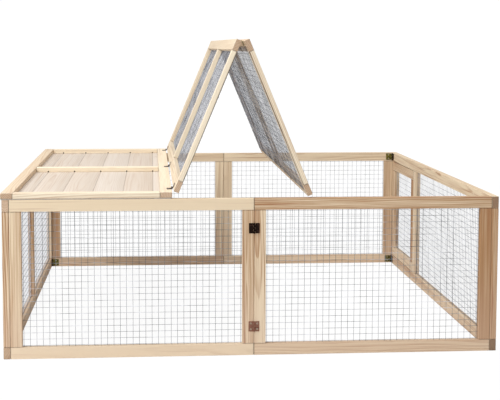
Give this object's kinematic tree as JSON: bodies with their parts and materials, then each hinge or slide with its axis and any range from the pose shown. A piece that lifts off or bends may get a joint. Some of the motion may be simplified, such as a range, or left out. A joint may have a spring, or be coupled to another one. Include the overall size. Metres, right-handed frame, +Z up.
{
  "type": "outdoor rabbit run",
  "caption": "Square pine and wire-mesh pen whose walls fold flat, with a mesh door and a roof of one boarded and two folding mesh panels.",
  "frame": {"origin": "on the ground, at the middle of the part's bounding box at rest", "axes": "+Z up; +X along the front from the boarded end to the door end; +Y from the front to the back"},
  "size_m": [1.5004, 1.5, 0.9502],
  "materials": {
    "wall_timber": "planed bare pine",
    "roof_timber": "planed bare pine",
    "roof_boards": "thin tongued and grooved pine boards",
    "galvanised_wire": "galvanised welded mesh",
    "bronzed_steel": "dark bronzed steel",
    "yellow_passivated_steel": "yellow passivated steel"
  },
  "bodies": {
    "left_wall": {"left_wall_bottom_rail": "wall_timber", "left_wall_front_net": "galvanised_wire", "left_wall_front_post": "wall_timber", "left_wall_mid_post": "wall_timber", "left_wall_rear_net": "galvanised_wire", "left_wall_rear_post": "wall_timber", "left_wall_top_rail": "wall_timber", "roof_1_back_rail": "roof_timber", "roof_1_boards": "roof_boards", "roof_1_front_rail": "roof_timber", "roof_1_left_stile": "roof_timber", "roof_1_mid_batten": "roof_timber", "roof_1_right_stile": "roof_timber", "roof_hinge_fixed_leaf": "bronzed_steel"},
    "front_left": {"front_left_bottom_rail": "wall_timber", "front_left_centre_stile": "wall_timber", "front_left_net": "galvanised_wire", "front_left_outer_stile": "wall_timber", "front_left_top_rail": "wall_timber"},
    "front_right": {"front_right_bottom_rail": "wall_timber", "front_right_centre_stile": "wall_timber", "front_right_net": "galvanised_wire", "front_right_outer_stile": "wall_timber", "front_right_top_rail": "wall_timber"},
    "right_wall": {"right_wall_bottom_rail": "wall_timber", "right_wall_front_net": "galvanised_wire", "right_wall_front_post": "wall_timber", "right_wall_mid_post": "wall_timber", "right_wall_rear_post": "wall_timber", "right_wall_top_rail": "wall_timber", "door_hinge_post_leaf": "bronzed_steel"},
    "back_left": {"back_left_bottom_rail": "wall_timber", "back_left_centre_stile": "wall_timber", "back_left_net": "galvanised_wire", "back_left_outer_stile": "wall_timber", "back_left_top_rail": "wall_timber"},
    "back_right": {"back_right_bottom_rail": "wall_timber", "back_right_centre_stile": "wall_timber", "back_right_net": "galvanised_wire", "back_right_outer_stile": "wall_timber", "back_right_top_rail": "wall_timber"},
    "roof_2": {"roof_2_back_rail": "roof_timber", "roof_2_front_rail": "roof_timber", "roof_2_left_stile": "roof_timber", "roof_2_mid_batten": "roof_timber", "roof_2_net": "galvanised_wire", "roof_2_right_stile": "roof_timber", "roof_hinge_lifted_leaf": "bronzed_steel", "ridge_hinge_roof_2_leaf": "yellow_passivated_steel"},
    "roof_3": {"roof_3_back_rail": "roof_timber", "roof_3_front_rail": "roof_timber", "roof_3_left_stile": "roof_timber", "roof_3_mid_batten": "roof_timber", "roof_3_net": "galvanised_wire", "roof_3_right_stile": "roof_timber", "ridge_hinge_roof_3_leaf": "yellow_passivated_steel"},
    "door": {"door_frame": "wall_timber", "door_net": "galvanised_wire", "door_hinge_door_leaf": "bronzed_steel"},
    "turn_button": {"door_turn_button": "bronzed_steel"}
  },
  "joints": [
    {"name": "wall_fold", "type": "hinge", "parent": "left_wall", "child": "front_left", "pos_m": [-0.7232, -0.727, 0.238], "axis": [0, 0, 1], "range_deg": [0, 90]},
    {"name": "front_centre_fold", "type": "hinge", "parent": "front_left", "child": "front_right", "pos_m": [-0.0012, -0.753, 0.238], "axis": [0, 0, 1], "range_deg": [-180, 0]},
    {"name": "front_right_corner_fold", "type": "hinge", "parent": "front_right", "child": "right_wall", "pos_m": [0.7208, -0.727, 0.238], "axis": [0, 0, 1], "range_deg": [0, 90]},
    {"name": "back_left_corner_fold", "type": "hinge", "parent": "left_wall", "child": "back_left", "pos_m": [-0.7232, 0.727, 0.238], "axis": [0, 0, 1], "range_deg": [-90, 0]},
    {"name": "back_centre_fold", "type": "hinge", "parent": "back_left", "child": "back_right", "pos_m": [-0.0012, 0.753, 0.238], "axis": [0, 0, 1], "range_deg": [0, 180]},
    {"name": "roof_lift", "type": "hinge", "parent": "left_wall", "child": "roof_2", "pos_m": [-0.2452, 0, 0.499], "axis": [0, -1, 0], "range_deg": [-67.5, 22.5]},
    {"name": "ridge_fold", "type": "hinge", "parent": "roof_2", "child": "roof_3", "pos_m": [-0.03596, 0, 0.94352], "axis": [0, -1, 0], "range_deg": [-45, 135]},
    {"name": "door_swing", "type": "hinge", "parent": "right_wall", "child": "door", "pos_m": [0.7472, 0.327, 0.34], "axis": [0, 0, -1], "range_deg": [0, 175]},
    {"name": "button_turn", "type": "hinge", "parent": "right_wall", "child": "turn_button", "pos_m": [0.7441, 0.727, 0.238], "axis": [1, 0, 0], "range_deg": [0, 90]}
  ],
  "couplings": [
    {"joint": "front_centre_fold", "follows": "wall_fold", "ratio": -2},
    {"joint": "front_right_corner_fold", "follows": "wall_fold", "ratio": 1},
    {"joint": "back_left_corner_fold", "follows": "wall_fold", "ratio": -1},
    {"joint": "back_centre_fold", "follows": "wall_fold", "ratio": 2},
    {"joint": "ridge_fold", "follows": "roof_lift", "ratio": -2}
  ]
}
